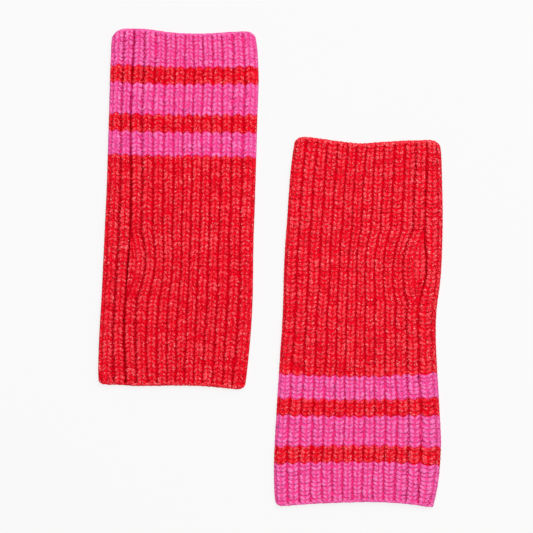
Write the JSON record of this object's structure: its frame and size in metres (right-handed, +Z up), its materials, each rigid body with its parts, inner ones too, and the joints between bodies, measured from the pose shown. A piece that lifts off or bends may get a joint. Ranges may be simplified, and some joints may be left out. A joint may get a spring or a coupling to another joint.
{
  "type": "pair of wrist warmers",
  "caption": "Pair of ribbed knit wrist warmers lying flat side by side, open at both ends, each with a striped wrist end, a seam on top and a slit for the thumb.",
  "frame": {"origin": "middle of the pair's outline, on the surface that it lies on", "axes": "+X to the right across the warmers, +Y along them towards the striped end of the upper left one, +Z up from the surface"},
  "size_m": [0.2112, 0.2921, 0.007],
  "materials": {
    "red_yarn": "matt ribbed knit, marled with light flecks",
    "pink_yarn": "matt ribbed knit, marled with light flecks"
  },
  "bodies": {
    "root": {"upper_left_warmer": "red_yarn", "lower_right_warmer": "red_yarn"}
  },
  "joints": []
}
